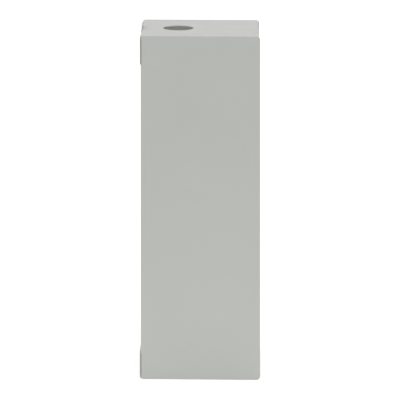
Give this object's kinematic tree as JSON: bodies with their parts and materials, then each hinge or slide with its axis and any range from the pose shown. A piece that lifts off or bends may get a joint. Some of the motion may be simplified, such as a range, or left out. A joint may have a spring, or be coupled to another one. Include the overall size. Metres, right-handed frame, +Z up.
{
  "type": "meter socket enclosure",
  "caption": "Tall deep wall-hung steel box for a plug-in watt-hour meter, with top conduit hub opening, tip-out ring cover, hasp and lever bypass.",
  "frame": {"origin": "centre of the overall box in X and Y, at its lowest point", "axes": "+Z up, +Y towards the wall the box hangs on, -Y towards the person reading the meter, +X across the box's width"},
  "size_m": [0.2032, 0.2318, 0.6684],
  "materials": {
    "paint": "satin",
    "zinc": "satin",
    "block": "satin",
    "fibre": "matte",
    "copper": "satin",
    "tin": "satin",
    "aluminium": "satin",
    "screw": "satin",
    "spring": "satin",
    "red": "gloss",
    "green": "satin"
  },
  "bodies": {
    "enclosure": {"enclosure_shell": "paint", "top_end_wall": "paint", "bottom_end_wall": "paint", "cover_ledge_left": "paint", "cover_ledge_right": "paint", "meter_bracket": "zinc", "bracket_nut_1": "screw", "bracket_nut_2": "screw", "bracket_nut_3": "screw", "bracket_nut_4": "screw", "line_jaw_block": "block", "load_jaw_block": "block", "block_screw_1": "screw", "block_screw_2": "screw", "block_screw_3": "screw", "block_screw_4": "screw", "line_jaw_left": "tin", "line_jaw_band_left": "spring", "line_lug_left": "aluminium", "line_jaw_right": "tin", "line_jaw_band_right": "spring", "line_lug_right": "aluminium", "load_jaw_left": "tin", "load_jaw_band_left": "spring", "load_lug_left": "aluminium", "load_jaw_right": "tin", "load_jaw_band_right": "spring", "load_lug_right": "aluminium", "neutral_strap": "tin", "neutral_lug_line": "aluminium", "neutral_lug_load": "aluminium", "shaft_bushing_left": "fibre", "shaft_bushing_right": "fibre", "ground_lug": "aluminium", "ground_bond_screw": "green", "latch_staple": "zinc", "staple_rivet_1": "screw", "staple_rivet_2": "screw"},
    "cover": {"cover": "paint", "hasp_base": "zinc", "hasp_pin": "screw", "hasp_rivet_1": "screw", "hasp_rivet_2": "screw"},
    "hasp": {"hasp": "zinc"},
    "bypass_lever": {"bypass_shaft": "zinc", "bypass_cam_left": "fibre", "bypass_cam_right": "fibre", "bypass_lever": "zinc", "lever_grip": "red"},
    "bridge_left": {"bridge_carrier_left": "fibre", "contact_bridge_left": "copper"},
    "bridge_right": {"bridge_carrier_right": "fibre", "contact_bridge_right": "copper"},
    "line_lug_screw_left": {"line_lug_screw_left": "screw"},
    "line_lug_screw_right": {"line_lug_screw_right": "screw"},
    "load_lug_screw_left": {"load_lug_screw_left": "screw"},
    "load_lug_screw_right": {"load_lug_screw_right": "screw"},
    "neutral_lug_screw_line": {"neutral_lug_screw_line": "screw"},
    "neutral_lug_screw_load": {"neutral_lug_screw_load": "screw"},
    "ground_lug_screw": {"ground_lug_screw": "screw"}
  },
  "joints": [
    {"name": "cover_tilt", "type": "hinge", "parent": "enclosure", "child": "cover", "pos_m": [0, -0.1019, 0.6344], "axis": [-1, 0, 0], "range_deg": [0, 70]},
    {"name": "hasp_swing", "type": "hinge", "parent": "cover", "child": "hasp", "pos_m": [0, -0.1057, 0.058], "axis": [-1, 0, 0], "range_deg": [0, 110]},
    {"name": "bypass_lever_turn", "type": "hinge", "parent": "enclosure", "child": "bypass_lever", "pos_m": [0, 0, 0.455], "axis": [-1, 0, 0], "range_deg": [0, 120]},
    {"name": "bridge_left_slide", "type": "slide", "parent": "enclosure", "child": "bridge_left", "axis": [0, -1, 0], "range_m": [0, 0.01]},
    {"name": "bridge_right_slide", "type": "slide", "parent": "enclosure", "child": "bridge_right", "axis": [0, -1, 0], "range_m": [0, 0.01]},
    {"name": "line_lug_screw_left_travel", "type": "slide", "parent": "enclosure", "child": "line_lug_screw_left", "axis": [0, -1, 0], "range_m": [0, 0.005]},
    {"name": "line_lug_screw_right_travel", "type": "slide", "parent": "enclosure", "child": "line_lug_screw_right", "axis": [0, -1, 0], "range_m": [0, 0.005]},
    {"name": "load_lug_screw_left_travel", "type": "slide", "parent": "enclosure", "child": "load_lug_screw_left", "axis": [0, -1, 0], "range_m": [0, 0.005]},
    {"name": "load_lug_screw_right_travel", "type": "slide", "parent": "enclosure", "child": "load_lug_screw_right", "axis": [0, -1, 0], "range_m": [0, 0.005]},
    {"name": "neutral_lug_screw_line_travel", "type": "slide", "parent": "enclosure", "child": "neutral_lug_screw_line", "axis": [0, -1, 0], "range_m": [0, 0.005]},
    {"name": "neutral_lug_screw_load_travel", "type": "slide", "parent": "enclosure", "child": "neutral_lug_screw_load", "axis": [0, -1, 0], "range_m": [0, 0.005]},
    {"name": "ground_lug_screw_travel", "type": "slide", "parent": "enclosure", "child": "ground_lug_screw", "axis": [0, -1, 0], "range_m": [0, 0.005]}
  ],
  "couplings": [
    {"joint": "bridge_left_slide", "follows": "bypass_lever_turn", "m_per_rad": 0.004774},
    {"joint": "bridge_right_slide", "follows": "bypass_lever_turn", "m_per_rad": 0.004774}
  ]
}
